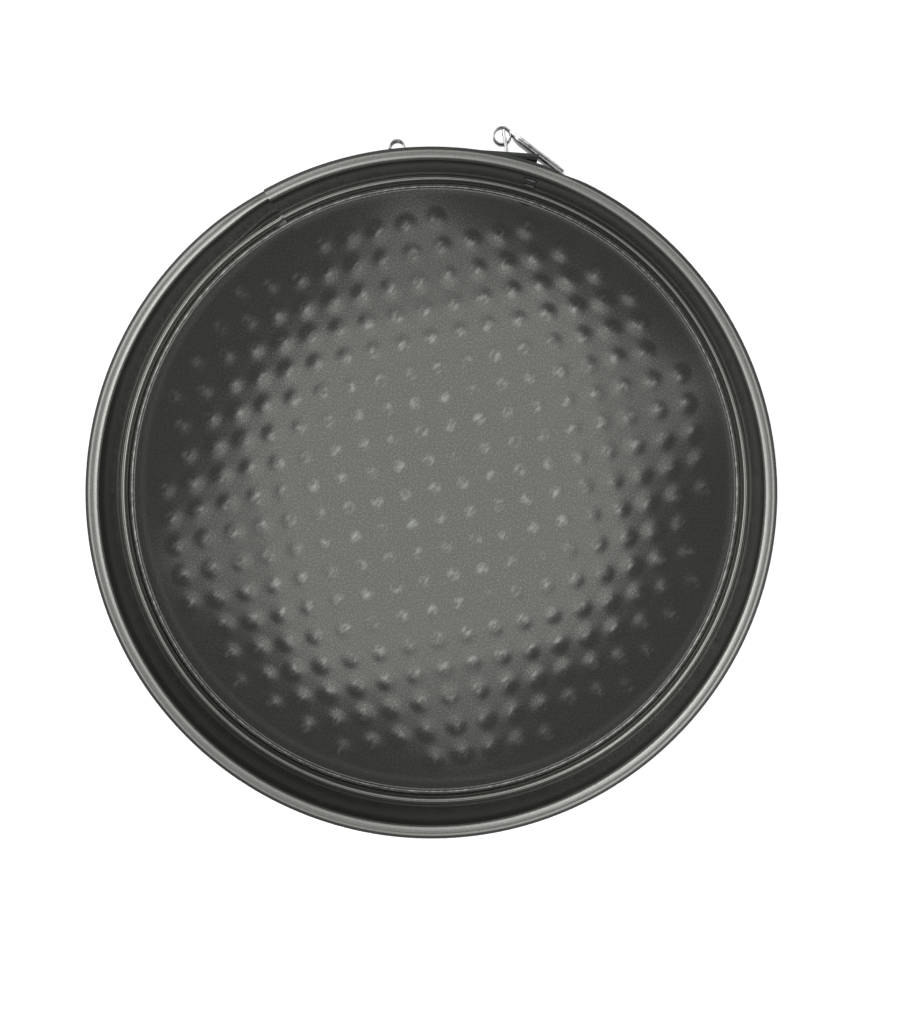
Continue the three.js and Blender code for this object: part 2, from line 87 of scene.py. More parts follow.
# Base
BASE_SHEET = 0.7
BASE_OUTER_R = WALL_R - (BEAD_INSET + SHEET / 2) - BASE_CLEARANCE
FLANGE_WIDTH = 1.0
STEP_RUN = 0.9
BASE_STEP_R = BASE_OUTER_R - FLANGE_WIDTH
BASE_FLOOR_R = BASE_STEP_R - STEP_RUN
BASE_FLANGE_TOP = SHEET + FLANGE_CLEARANCE + BASE_SHEET
BASE_CREST_R = BASE_STEP_R + 0.6
FLANGE_FALL = 0.4
FLOOR_MARGIN = 0.6
BUMP_PITCH = 12.5
BUMP_HEIGHT = 0.062
BUMP_SKIRT_R = 6.2
BUMP_ROW_DEG = 12.4
BUMP_LIMIT_R = 118.2
BUMP_SIDES = 12
BASE_SIDES = 288

# Latch
LATCH_Z = 36.0
RIVET_RISE = 10.0
RIVET_SHANK_R = 1.5
RIVET_HEAD_R = 3.0
RIVET_HEAD_HEIGHT = 1.4
RIVET_INNER_HEIGHT = 0.9
RIVET_TAIL_R = RIVET_SHANK_R + 1.0
RIVET_TAIL_HEIGHT = 0.7
PLATE_HALF_HEIGHT = 13.5
LEVER_SHEET = 0.8
PIN_R = 1.0
PIN_HEAD_R = 1.7
PIN_HEAD_HEIGHT = 0.6
KNUCKLE_R = 1.6
KNUCKLE_TURN_DEG = 300
FINGER_TURN_DEG = 290
PLATE_STEPS = 16
LEVER_KNUCKLE_HALF = 3.5
FINGER_FROM = 3.8
FINGER_HEIGHT = 4.0
BRACKET_SHEET = 0.8
BRACKET_R = WALL_OUTER_R + FIT_GAP + BRACKET_SHEET / 2
BRACKET_FROM_DEG = 13.5
BRACKET_TO_DEG = 29.0
BRACKET_RIVET_DEG = 17.5
PIVOT_STANDOFF = 4.1
PIVOT_R = WALL_OUTER_R + PIVOT_STANDOFF
PIVOT_DEG = 23.9
LEVER_OPEN_DEG = 13.2
LEVER_DEG = 180 - PIVOT_DEG - LEVER_OPEN_DEG
LEVER_LENGTH = 33.8
LEVER_BODY_HALF = 7.5
LEVER_HEM = 1.5
LEVER_HEM_HEIGHT = 2.0
EYE_R = 3.5
EYE_OFFSET = 2.0
EYE_FROM_DEG = 6
EYE_TO_DEG = 338
EYE_HALF_HEIGHT = 4.0
BAIL_WIRE_R = 0.65
WIRE_SIDES = 14
BAIL_CORNER_R = 1.3
BAIL_LENGTH = 13.5
BAIL_SEAT_R = 2.09
BAIL_SEAT_DEG = 73.3
BAIL_HALF_HEIGHT = EYE_HALF_HEIGHT + BAIL_GAP + BAIL_CORNER_R
KEEPER_SHEET = 1.0
KEEPER_R = TAIL_OUTER_R + FIT_GAP + KEEPER_SHEET / 2
KEEPER_DEG = -5.2
KEEPER_HALF_WIDTH = 6.0
KEEPER_TONGUE_HALF = EYE_HALF_HEIGHT
KEEPER_TONGUE_SIDE = 1.3
KEEPER_REACH = 9.2
KEEPER_MOUTH = 6.2


def mix(a, b, t):
    return a + (b - a) * t


def ease(value, start, end):
    t = min(1.0, max(0.0, (value - start) / (end - start)))
    return t * t * (3 - 2 * t)


def polar(r, degrees):
    return (r * math.sin(math.radians(degrees)), r * math.cos(math.radians(degrees)))


def beside(degrees, r, across):
    """A point at radius r, moved across along the tangent, clockwise positive."""
    x, y = polar(1.0, degrees)
    return (x * r + y * across, y * r - x * across)


def smooth_line(points, steps):
    """The same line with its corners rounded through extra points."""
    line = []
    for i in range(len(points) - 1):
        before = points[max(0, i - 1)]
        after = points[min(len(points) - 1, i + 2)]
        for k in range(steps):
            t = k / steps
            line.append(tuple(
                0.5 * (2 * b + (c - a) * t + (2 * a - 5 * b + 4 * c - d) * t * t
                       + (3 * b - a - 3 * c + d) * t * t * t)
                for a, b, c, d in zip(before, points[i], points[i + 1], after)
            ))
    line.append(tuple(points[-1]))
    return line


def ribbon(line, thickness):
    """A sheet seen edge on: the outline at half the thickness on both sides of a line."""
    left, right = [], []
    for i, point in enumerate(line):
        here = Vector(point)
        before = Vector(line[max(0, i - 1)])
        after = Vector(line[min(len(line) - 1, i + 1)])
        a = (here - before) if i else (after - here)
        b = (after - here) if i < len(line) - 1 else (here - before)
        bisector = (a.normalized() + b.normalized()).normalized()
        reach = thickness / 2 / max(0.6, bisector.dot(a.normalized()))
        side = Vector((-bisector.y, bisector.x)) * reach
        left.append(tuple(here + side))
        right.append(tuple(here - side))
    return left + right[::-1]


def piece(name, vertices, faces, material, sharp_deg=40):
    """A finished mesh object in metres, with its normals outwards and its sharp edges marked."""
    mesh = bpy.data.meshes.new(name)
    mesh.from_pydata([(x * MM, y * MM, z * MM) for x, y, z in vertices], [], faces)
    return finish_mesh(name, mesh, material, sharp_deg)


def finish_mesh(name, mesh, material, sharp_deg=40):
    """Welds a mesh, turns its normals outwards and makes its object."""
    shape = bmesh.new()
    shape.from_mesh(mesh)
    bmesh.ops.remove_doubles(shape, verts=shape.verts, dist=2e-6)
    bmesh.ops.recalc_face_normals(shape, faces=shape.faces)
    shape.to_mesh(mesh)
    shape.free()
    mesh.materials.clear()
    return smooth_object(name, mesh, material, sharp_deg)


def smooth_object(name, mesh, material, sharp_deg):
    """The object of a finished mesh, shaded smooth except at its sharp edges."""
    mesh.materials.append(material)
    mesh.polygons.foreach_set("use_smooth", [True] * len(mesh.polygons))
    mesh.set_sharp_from_angle(angle=math.radians(sharp_deg))
    made = bpy.data.objects.new(name, mesh)
    bpy.context.scene.collection.objects.link(made)
    return made


def baked(source, name, material, sharp_deg=40):
    """The plain mesh of an object with its modifiers applied; the source is removed."""
    bpy.context.view_layer.update()
    graph = bpy.context.evaluated_depsgraph_get()
    mesh = bpy.data.meshes.new_from_object(source.evaluated_get(graph))
    mesh.name = name
    bpy.data.objects.remove(source)
    return finish_mesh(name, mesh, material, sharp_deg)


def place(made, body, slot, *nodes):
    """Puts a finished piece in the frame, in place of its solids."""
    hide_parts(*nodes)
    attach(made, body)


# Materials

def linear(code):
    """An sRGB hex colour as linear RGBA."""
    values = [int(code[i:i + 2], 16) / 255 for i in (1, 3, 5)]
    return [v / 12.92 if v <= 0.04045 else ((v + 0.055) / 1.055) ** 2.4 for v in values] + [1.0]


def add(tree, kind, inputs=None, **settings):
    """Adds a node with its settings, and sets or links its inputs."""
    made = tree.nodes.new(kind)
    for key, value in settings.items():
        setattr(made, key, value)
    for key, value in (inputs or {}).items():
        if isinstance(value, bpy.types.NodeSocket):
            tree.links.new(value, made.inputs[key])
        else:
            made.inputs[key].default_value = value
    return made


def per_metre(size_mm):
    """A noise scale that gives features of about this size."""
    return 1000.0 / size_mm


def new_material(name):
    material = bpy.data.materials.new(name)
    material.use_nodes = True
    material.node_tree.nodes.clear()
    return material, material.node_tree


# Painted sheen: the lighter colour that the rim's crown and the bumps' crowns are mixed towards.
PAINTED_SHEEN_COAT = "#a6a8a3"
# Painted shade: the darker colour of the rim roll's outer edge.
PAINTED_EDGE_SHADE = "#3c3e3c"
MASK_RAMP = 0.6
DULL_ROUGHER = 0.08
WORN_ROUGHNESS = 0.3
RIM_FROM = BAND_TOP - 8
STROKE_ANGLE = math.radians(50)
STROKE_STRETCH = 2.4
GRAIN_DEPTH = 0.00003


def nonstick_steel(name, base, fleck, roughness, grain_mm, edge_shade_from, sheen_from, sheen_over, sheen_most,
                   stroke_mm, matt_from):
    """Sprayed non-stick coat on sheet steel: dark, metallic and half glossy, with fine specks.
    The grain is drawn as coarse as one pixel of the picture, because the real one is finer.
    On the rim's outside, beyond a given radius, it is painted darker as shade and is duller. From
    a given height it is painted lighter in short strokes as sheen, and from matt_from it has lost some
    gloss."""
    material, tree = new_material(name)
    place_on = add(tree, "ShaderNodeTexCoord").outputs["Object"]
    grain = add(tree, "ShaderNodeTexNoise", {
        "Vector": place_on, "Scale": per_metre(grain_mm), "Detail": 3.0, "Roughness": 0.7})
    specks = add(tree, "ShaderNodeMapRange", {
        "Value": grain.outputs["Fac"], "From Min": 0.48, "From Max": 0.75})
    speckled = add(tree, "ShaderNodeMix", {
        "Factor": specks.outputs["Result"], "A": linear(base), "B": linear(fleck)}, data_type="RGBA")
    # Painted sheen: from a given height up the coat is lightened in short strokes.
    strokes = add(tree, "ShaderNodeMapping", {
        "Vector": place_on, "Rotation": (0.0, 0.0, STROKE_ANGLE),
        "Scale": (STROKE_STRETCH, 1.0, 1.0)}, vector_type="TEXTURE")
    sheen_noise = add(tree, "ShaderNodeTexNoise", {
        "Vector": strokes.outputs["Vector"], "Scale": per_metre(stroke_mm), "Detail": 3.0})
    sheen_strokes = add(tree, "ShaderNodeMapRange", {
        "Value": sheen_noise.outputs["Fac"], "From Min": 0.43, "From Max": 0.66, "To Max": sheen_most})
    part = add(tree, "ShaderNodeSeparateXYZ", {"Vector": place_on})
    top = add(tree, "ShaderNodeMapRange", {
        "Value": part.outputs["Z"], "From Min": sheen_from * MM, "From Max": (sheen_from + sheen_over) * MM})
    painted_sheen = add(tree, "ShaderNodeMath", {
        0: top.outputs["Result"], 1: sheen_strokes.outputs["Result"]}, operation="MULTIPLY")
    flat = add(tree, "ShaderNodeVectorMath", {0: place_on, 1: (1.0, 1.0, 0.0)}, operation="MULTIPLY")
    away = add(tree, "ShaderNodeVectorMath", {0: flat.outputs["Vector"]}, operation="LENGTH")
    # Painted shade: beyond a given radius the rim roll's outer edge is darkened, and it is also made
    # rougher.
    rim_edge = add(tree, "ShaderNodeMapRange", {
        "Value": away.outputs["Value"], "From Min": edge_shade_from * MM,
        "From Max": (edge_shade_from + MASK_RAMP) * MM})
    at_rim = add(tree, "ShaderNodeMapRange", {
        "Value": part.outputs["Z"], "From Min": RIM_FROM * MM, "From Max": (RIM_FROM + 1) * MM})
    edge_shade_and_dullness = add(tree, "ShaderNodeMath", {
        0: rim_edge.outputs["Result"], 1: at_rim.outputs["Result"]}, operation="MULTIPLY")
    lighter = add(tree, "ShaderNodeMix", {
        "Factor": painted_sheen.outputs[0], "A": speckled.outputs["Result"], "B": linear(PAINTED_SHEEN_COAT)},
        data_type="RGBA")
    colour = add(tree, "ShaderNodeMix", {
        "Factor": edge_shade_and_dullness.outputs[0], "A": lighter.outputs["Result"], "B": linear(PAINTED_EDGE_SHADE)},
        data_type="RGBA")
    crown = add(tree, "ShaderNodeMapRange", {
        "Value": part.outputs["Z"], "From Min": matt_from * MM, "From Max": (matt_from + MASK_RAMP) * MM,
        "To Min": roughness, "To Max": WORN_ROUGHNESS})
    gloss = add(tree, "ShaderNodeMath", {
        0: edge_shade_and_dullness.outputs[0], 1: DULL_ROUGHER, 2: crown.outputs["Result"]}, operation="MULTIPLY_ADD")
    relief = add(tree, "ShaderNodeBump", {
        "Height": grain.outputs["Fac"], "Strength": 0.15, "Distance": GRAIN_DEPTH})
    coat = add(tree, "ShaderNodeBsdfPrincipled", {
        "Base Color": colour.outputs["Result"], "Roughness": gloss.outputs["Value"],
        "Normal": relief.outputs["Normal"], "Metallic": 0.95, "Specular Tint": linear("#aaaaaa")})
    add(tree, "ShaderNodeOutputMaterial", {"Surface": coat.outputs["BSDF"]})
    return material


def bright_plate(name, base, shade, roughness, streak_mm):
    """Nickel-plated steel: bright, with faint drawing streaks that soften its reflections."""
    material, tree = new_material(name)
    place_on = add(tree, "ShaderNodeTexCoord").outputs["Object"]
    drawn = add(tree, "ShaderNodeMapping", {
        "Vector": place_on, "Scale": (1.0, 1.0, 0.12)})
    streaks = add(tree, "ShaderNodeTexNoise", {
        "Vector": drawn.outputs["Vector"], "Scale": per_metre(streak_mm), "Detail": 4.0})
    dulling = add(tree, "ShaderNodeTexNoise", {
        "Vector": place_on, "Scale": per_metre(2.5), "Detail": 3.0})
    tone = add(tree, "ShaderNodeMapRange", {
        "Value": dulling.outputs["Fac"], "From Min": 0.4, "From Max": 0.75})
    colour = add(tree, "ShaderNodeMix", {
        "Factor": tone.outputs["Result"], "A": linear(base), "B": linear(shade)}, data_type="RGBA")
    gloss = add(tree, "ShaderNodeMapRange", {
        "Value": streaks.outputs["Fac"], "From Min": 0.3, "From Max": 0.7,
        "To Min": roughness - 0.05, "To Max": roughness + 0.07})
    relief = add(tree, "ShaderNodeBump", {
        "Height": streaks.outputs["Fac"], "Strength": 0.15, "Distance": GRAIN_DEPTH})
    metal = add(tree, "ShaderNodeBsdfPrincipled", {
        "Base Color": colour.outputs["Result"], "Roughness": gloss.outputs["Result"],
        "Normal": relief.outputs["Normal"], "Metallic": 1.0, "Specular Tint": linear("#808080")})
    add(tree, "ShaderNodeOutputMaterial", {"Surface": metal.outputs["BSDF"]})
    return material


# On the band, the rim's crown gets the painted sheen and the roll's outer edge the painted shade.
RIM_EDGE_WIDTH = 1.6
RIM_EDGE_R = WALL_R + 2 * RIM_ROLL_R - RIM_EDGE_WIDTH
BAND_COAT = nonstick_steel(
    "nonstick_coated_band_steel", base="#888884", fleck="#a0a09b", roughness=0.15, grain_mm=0.6,
    edge_shade_from=RIM_EDGE_R, sheen_from=BAND_TOP - 2.4, sheen_over=0.8, sheen_most=0.95,
    stroke_mm=0.2, matt_from=BAND_TOP - 2.6)
OUTSIDE_COAT = nonstick_steel(
    "nonstick_coated_band_outside", base="#4a4a48", fleck="#646461", roughness=0.24, grain_mm=0.6,
    edge_shade_from=RIM_EDGE_R, sheen_from=BAND_TOP, sheen_over=1.0, sheen_most=0.7,
    stroke_mm=0.2, matt_from=BAND_TOP)
# On the base, the crowns of the bumps get the painted sheen.
BASE_COAT = nonstick_steel(
    "nonstick_coated_base_steel", base="#686965", fleck="#8e908b", roughness=0.075, grain_mm=0.7,
    edge_shade_from=WALL_R, sheen_from=BASE_SHEET + BUMP_HEIGHT * 0.45, sheen_over=BUMP_HEIGHT * 0.5,
    sheen_most=0.7, stroke_mm=1.7, matt_from=BAND_TOP)
STRIP_PLATE = bright_plate(
    "nickel_plated_strip", base="#dcdddd", shade="#9fa1a2", roughness=0.16, streak_mm=0.5)
WIRE_PLATE = bright_plate(
    "nickel_plated_wire", base="#dcdddd", shade="#b4b6b7", roughness=0.14, streak_mm=0.4)
RIVET_STEEL = bright_plate(
    "dulled_rivet_steel", base="#7c7e7e", shade="#6a6c6c", roughness=0.48, streak_mm=0.5)


# Band: one strip from its inner end, once round, to the tail that overlaps it outside

BEAD_LINE = [
    (GROOVE_INSET, GROOVE_HEIGHT),
    (mix(GROOVE_INSET, BEAD_INSET, 0.5), mix(GROOVE_HEIGHT, BEAD_HEIGHT, 0.4)),
    (BEAD_INSET * 0.93, BEAD_HEIGHT - 1.0),
    (BEAD_INSET, BEAD_HEIGHT),
    (BEAD_INSET * 0.93, BEAD_HEIGHT + 0.6),
    (BEAD_INSET * 0.78, BEAD_HEIGHT + 1.2),
    (BEAD_INSET * 0.57, BEAD_HEIGHT + 1.85),
    (BEAD_INSET * 0.48, BEAD_HEIGHT + 2.0),
    (BEAD_INSET * 0.39, BEAD_HEIGHT + 2.06),
    (BEAD_INSET * 0.29, BEAD_HEIGHT + 2.2),
    (BEAD_INSET * 0.18, BEAD_HEIGHT + 2.6),
    (BEAD_INSET * 0.06, BEAD_HEIGHT + 3.5),
    (0.0, BEAD_HEIGHT + BEAD_SPREAD),
    (0.0, BEAD_HEIGHT + BEAD_SPREAD + 2.5),
]
FORMED_FOOT = [(inset, max(z, SHEET / 2)) for inset, z in smooth_line([
    (LIP_INSET, SHEET / 2), (GROOVE_INSET + 0.8, SHEET / 2), (GROOVE_INSET, SHEET / 2 + 0.8),
] + BEAD_LINE, 4)]
TAIL_FOOT = smooth_line([
    (GROOVE_INSET, SHEET * 1.5), (GROOVE_INSET, SHEET * 1.5 + 0.4), (GROOVE_INSET, SHEET * 1.5 + 0.8),
] + BEAD_LINE, 4)
HOOD = smooth_line([
    (x * HOOD_REACH, BAND_TOP - SHEET / 2 - drop) for x, drop in
    ((0, 3.1), (0.093, 1.3), (0.296, 0.2), (0.5, 0), (0.722, 0.2), (0.889, 0.7), (1, HOOD_DROP))
], 3)


def rolled(roll_r, top):
    """The rim's curl, from the wall over the top and down outside."""
    count = len(HOOD)
    points = []
    for i in range(count):
        turn = math.radians(mix(180, -105, i / (count - 1)))
        points.append((roll_r * (1 + math.cos(turn)),
                       top - SHEET / 2 - roll_r + roll_r * math.sin(turn)))
    return points


def band_section(degrees):
    """The strip's outline where it stands at this angle, counted on past 360 into the tail."""
    tail = ease(degrees, JOGGLE_START_DEG, 360 + INNER_END_DEG)
    nested = ease(degrees, NEST_FROM_DEG, NEST_TO_DEG)
    hood = 1 - ease(degrees, HOOD_END_DEG, ROLL_AGAIN_DEG)
    beyond = max(0.0, degrees - TAIL_STRAIGHT_FROM_DEG)
    wall = mix(WALL_R, TAIL_R, tail) / math.cos(math.radians(beyond))
    line = []
    for formed, plain in zip(FORMED_FOOT, TAIL_FOOT):
        z = mix(formed[1], plain[1], nested)
        moved = mix(ease(z, JOGGLE_ABOVE, BEAD_HEIGHT + BEAD_SPREAD), 1.0, nested)
        line.append((mix(WALL_R, wall, moved) - mix(formed[0], plain[0], nested), z))
    for k in (0.25, 0.5, 0.75):
        line.append((wall, mix(line[len(FORMED_FOOT) - 1][1], PLAIN_WALL_TOP, k)))
    roll = rolled(mix(RIM_ROLL_R, TAIL_ROLL_R, tail), mix(BAND_TOP, TAIL_TOP, tail))
    line += [(wall + mix(p[0], h[0], hood), mix(p[1], h[1], hood)) for p, h in zip(roll, HOOD)]
    return ribbon(line, SHEET)


def band():
    """The whole strip, with the matt outside coat on its outer face below the rim."""
    spans = [(INNER_END_DEG, JOGGLE_START_DEG), (JOGGLE_START_DEG, TAIL_STRAIGHT_FROM_DEG),
             (TAIL_STRAIGHT_FROM_DEG, TAIL_END_DEG)]
    stations = [INNER_END_DEG]
    for start, end in spans:
        count = math.ceil((end - start) / BAND_STEP_DEG)
        stations += [mix(start, end, (i + 1) / count) for i in range(count)]
    vertices, faces = [], []
    for degrees in stations:
        vertices += [polar(r, degrees) + (z,) for r, z in band_section(degrees)]
    count = len(vertices) // len(stations)
    for i in range(len(stations) - 1):
        for j in range(count):
            a, b = i * count + j, i * count + (j + 1) % count
            faces.append((a, b, b + count, a + count))
    last = (len(stations) - 1) * count
    for j in range(count // 2 - 1):
        k = count - 1 - j
        faces.append((j, k, k - 1, j + 1))
        faces.append((last + j, last + j + 1, last + k - 1, last + k))
    made = piece("coated_band", vertices, faces, BAND_COAT, 50)
    made.data.materials.append(OUTSIDE_COAT)
    for face in made.data.polygons:
        outward = face.normal.x * face.center.x + face.normal.y * face.center.y
        if outward > 0 and face.center.z < (BAND_TOP - 2 * RIM_ROLL_R) * MM:
            face.material_index = 1
    return made


# Base plate: a dished sheet whose floor carries a field of pressed bumps

def bump_centres():
    turn = Matrix.Rotation(math.radians(BUMP_ROW_DEG), 2)
    reach = math.ceil(BUMP_LIMIT_R / BUMP_PITCH)
    steps = range(-reach, reach + 1)
    places = [Vector((i * BUMP_PITCH, j * BUMP_PITCH)) for i in steps for j in steps]
    return [turn @ p for p in places if p.length <= BUMP_LIMIT_R]


def around(r, sides, z):
    turns = [2 * math.pi * k / sides for k in range(sides)]
    return [(r * math.cos(t), r * math.sin(t), z) for t in turns]


def one_bump():
    """One pressed bump that runs out smoothly into the floor, which the field repeats."""
    rings = [1.0, 0.86, 0.7, 0.52, 0.34, 0.16]
    vertices, faces = [], []
    for out in rings:
        rise = BUMP_HEIGHT * (1 + math.cos(math.pi * out)) / 2
        vertices += around(BUMP_SKIRT_R * out, BUMP_SIDES, BASE_SHEET + rise)
    for i in range(len(rings) - 1):
        for k in range(BUMP_SIDES):
            a, b = i * BUMP_SIDES + k, i * BUMP_SIDES + (k + 1) % BUMP_SIDES
            faces.append((a, b, b + BUMP_SIDES, a + BUMP_SIDES))
    top = len(vertices)
    vertices.append((0.0, 0.0, BASE_SHEET + BUMP_HEIGHT))
    faces += [(top - BUMP_SIDES + k, top - BUMP_SIDES + (k + 1) % BUMP_SIDES, top)
              for k in range(BUMP_SIDES)]
    return piece("one_bump", vertices, faces, BASE_COAT)


def bump_field_tree():
    """Copies of one bump on a square grid, kept inside a circle."""
    tree = bpy.data.node_groups.new("bump_field", "GeometryNodeTree")
    for name, kind in (("Bump", "NodeSocketObject"), ("Pitch", "NodeSocketFloat"),
                       ("Row Angle", "NodeSocketFloat"), ("Field Radius", "NodeSocketFloat"),
                       ("Rows", "NodeSocketInt"), ("Coat", "NodeSocketMaterial")):
        tree.interface.new_socket(name, in_out="INPUT", socket_type=kind)
    tree.interface.new_socket("Geometry", in_out="OUTPUT", socket_type="NodeSocketGeometry")
    given = add(tree, "NodeGroupInput").outputs
    gaps = add(tree, "ShaderNodeMath", {0: given["Rows"], 1: 1.0}, operation="SUBTRACT")
    side = add(tree, "ShaderNodeMath", {0: given["Pitch"], 1: gaps.outputs[0]}, operation="MULTIPLY")
    grid = add(tree, "GeometryNodeMeshGrid", {
        "Size X": side.outputs[0], "Size Y": side.outputs[0],
        "Vertices X": given["Rows"], "Vertices Y": given["Rows"]})
    where = add(tree, "GeometryNodeInputPosition")
    far = add(tree, "ShaderNodeVectorMath", {0: where.outputs[0]}, operation="LENGTH")
    outside = add(tree, "FunctionNodeCompare", {
        "A": far.outputs["Value"], "B": given["Field Radius"]}, data_type="FLOAT", operation="GREATER_THAN")
    kept = add(tree, "GeometryNodeDeleteGeometry", {
        "Geometry": grid.outputs["Mesh"], "Selection": outside.outputs["Result"]}, domain="POINT")
    angle = add(tree, "ShaderNodeCombineXYZ", {"Z": given["Row Angle"]})
    turned = add(tree, "GeometryNodeTransform", {
        "Geometry": kept.outputs["Geometry"], "Rotation": angle.outputs["Vector"]})
    shape = add(tree, "GeometryNodeObjectInfo", {"Object": given["Bump"]})
    copies = add(tree, "GeometryNodeInstanceOnPoints", {
        "Points": turned.outputs["Geometry"], "Instance": shape.outputs["Geometry"]})
    real = add(tree, "GeometryNodeRealizeInstances", {"Geometry": copies.outputs["Instances"]})
    coated = add(tree, "GeometryNodeSetMaterial", {
        "Geometry": real.outputs["Geometry"], "Material": given["Coat"]})
    add(tree, "NodeGroupOutput", {"Geometry": coated.outputs["Geometry"]})
    return tree


def run_nodes(name, tree, values):
    """An object whose mesh comes from a node tree, with the tree's inputs set."""
    carrier = bpy.data.objects.new(name, bpy.data.meshes.new(name))
    bpy.context.scene.collection.objects.link(carrier)
    modifier = carrier.modifiers.new("shape", "NODES")
    modifier.node_group = tree
    for item in tree.interface.items_tree:
        if item.in_out == "INPUT" and item.name in values:
            modifier[item.identifier] = values[item.name]
    return carrier


def floor_with_openings():
    """Points and faces of the flat floor, with a round opening for each bump."""
    edge = around(BASE_FLOOR_R - FLOOR_MARGIN, BASE_SIDES, 0)
    flat = [Vector((x, y)) for x, y, _ in edge]
    loops = [list(range(len(flat)))]
    centres = bump_centres()
    for centre in centres:
        start = len(flat)
        flat += [centre + Vector((x, y)) for x, y, _ in around(BUMP_SKIRT_R, BUMP_SIDES, 0)]
        loops.append(list(range(len(flat) - 1, start - 1, -1)))
    points, _, faces, _, _, _ = delaunay_2d_cdt(flat, [], loops, 2, 1e-5)
    vertices = [(p.x, p.y, BASE_SHEET) for p in points]
    kept = []
    for face in faces:
        middle = sum((points[i] for i in face), Vector((0, 0))) / len(face)
        if all((middle - c).length > BUMP_SKIRT_R * 0.9 for c in centres):
            kept.append(tuple(face))
    return vertices, kept


def base_edge():
    """Radius and height of the upper face, from the floor's edge over the narrow raised edge."""
    rounded = smooth_line([
        (BASE_CREST_R - 1.0, BASE_SHEET),
        (BASE_CREST_R - 0.84, BASE_SHEET + 0.08),
        (BASE_CREST_R - 0.7, mix(BASE_SHEET, BASE_FLANGE_TOP, 0.45)),
        (BASE_CREST_R - 0.54, BASE_FLANGE_TOP - 0.24),
        (BASE_CREST_R - 0.12, BASE_FLANGE_TOP - 0.03),
        (BASE_CREST_R, BASE_FLANGE_TOP),
        (BASE_CREST_R + 0.2, BASE_FLANGE_TOP - FLANGE_FALL * 0.5),
        (BASE_OUTER_R, BASE_FLANGE_TOP - FLANGE_FALL),
    ], 3)
    profile = [(BASE_FLOOR_R - inset, BASE_SHEET) for inset in (FLOOR_MARGIN, 0.4, 0.0)]
    return profile + [(r, max(z, BASE_SHEET)) for r, z in rounded]


def base_floor():
    """The floor round the bumps and the narrow raised edge, as one open sheet."""
    vertices, faces = floor_with_openings()
    profile = base_edge()
    start = len(vertices)
    for r, z in profile:
        vertices += around(r, BASE_SIDES, z)
    for i in range(len(profile) - 1):
        for k in range(BASE_SIDES):
            a = start + i * BASE_SIDES + k
            b = start + i * BASE_SIDES + (k + 1) % BASE_SIDES
            faces.append((a, a + BASE_SIDES, b + BASE_SIDES, b))
    return vertices, faces


def base_plate():
    """Floor and bumps as one sheet, given its thickness downwards."""
    bump = one_bump()
    rows = 2 * math.floor(BUMP_LIMIT_R / BUMP_PITCH) + 1
    carrier = run_nodes("bump_field", bump_field_tree(), {
        "Bump": bump, "Pitch": BUMP_PITCH * MM, "Row Angle": math.radians(BUMP_ROW_DEG),
        "Field Radius": BUMP_LIMIT_R * MM, "Rows": rows, "Coat": BASE_COAT})
    bumps = baked(carrier, "bumps", BASE_COAT)
    vertices, faces = base_floor()
    sheet = piece("sheet", vertices, faces, BASE_COAT)
    shape = bmesh.new()
    shape.from_mesh(sheet.data)
    shape.from_mesh(bumps.data)
    bmesh.ops.remove_doubles(shape, verts=shape.verts, dist=2e-5)
    for face in shape.faces:
        if face.normal.z < 0:
            face.normal_flip()
    shape.to_mesh(sheet.data)
    shape.free()
    for used in (bumps, bump):
        bpy.data.objects.remove(used)
    solidify = sheet.modifiers.new("sheet", "SOLIDIFY")
    solidify.thickness = BASE_SHEET * MM
    solidify.offset = -1.0
    return baked(sheet, "bumped_base", BASE_COAT, 60)


# Latch

def strip(name, line, heights, thickness, material, soften=0.16):
    """Sheet strip on edge: a plan line with a lower and an upper height at each of its points."""
    outline = ribbon(line, thickness)
    count = len(line)
    vertices, faces = [], []
    for index, (x, y) in enumerate(outline):
        low, high = heights[index if index < count else 2 * count - 1 - index]
        vertices += [(x, y, low), (x, y, high)]
    total = len(outline)
    for i in range(total):
        k = (i + 1) % total
        faces.append((2 * i, 2 * k, 2 * k + 1, 2 * i + 1))
    for i in range(count - 1):
        k = total - 1 - i
        faces.append((2 * i, 2 * k, 2 * (k - 1), 2 * (i + 1)))
        faces.append((2 * i + 1, 2 * (i + 1) + 1, 2 * (k - 1) + 1, 2 * k + 1))
    made = piece(name, vertices, faces, material)
    bevel = made.modifiers.new("edge", "BEVEL")
    bevel.width = soften * MM
    bevel.segments = 3
    bevel.limit_method = "ANGLE"
    bevel.angle_limit = math.radians(50)
    return baked(made, name, material, 38)


def joined(name, parts, material, sharp_deg=38):
    """Several meshes as one piece; the parts are removed."""
    shape = bmesh.new()
    for part in parts:
        shape.from_mesh(part.data)
        bpy.data.objects.remove(part)
    mesh = bpy.data.meshes.new(name)
    shape.to_mesh(mesh)
    shape.free()
    return smooth_object(name, mesh, material, sharp_deg)


def arc(centre, r, start, end, count):
    turns = [math.radians(mix(start, end, i / count)) for i in range(count + 1)]
    return [(centre[0] + r * math.cos(t), centre[1] + r * math.sin(t)) for t in turns]


PIVOT = polar(PIVOT_R, PIVOT_DEG)
ALONG = Vector((math.cos(math.radians(LEVER_DEG)), math.sin(math.radians(LEVER_DEG))))
OUT = Vector((ALONG.y, -ALONG.x))


def on_lever(along, side):
    return tuple(Vector(PIVOT) + ALONG * along + OUT * side)


EYE = on_lever(LEVER_LENGTH, KNUCKLE_R - EYE_OFFSET)
BAIL_SEAT = (EYE[0] + BAIL_SEAT_R * math.cos(math.radians(BAIL_SEAT_DEG)),
             EYE[1] + BAIL_SEAT_R * math.sin(math.radians(BAIL_SEAT_DEG)))


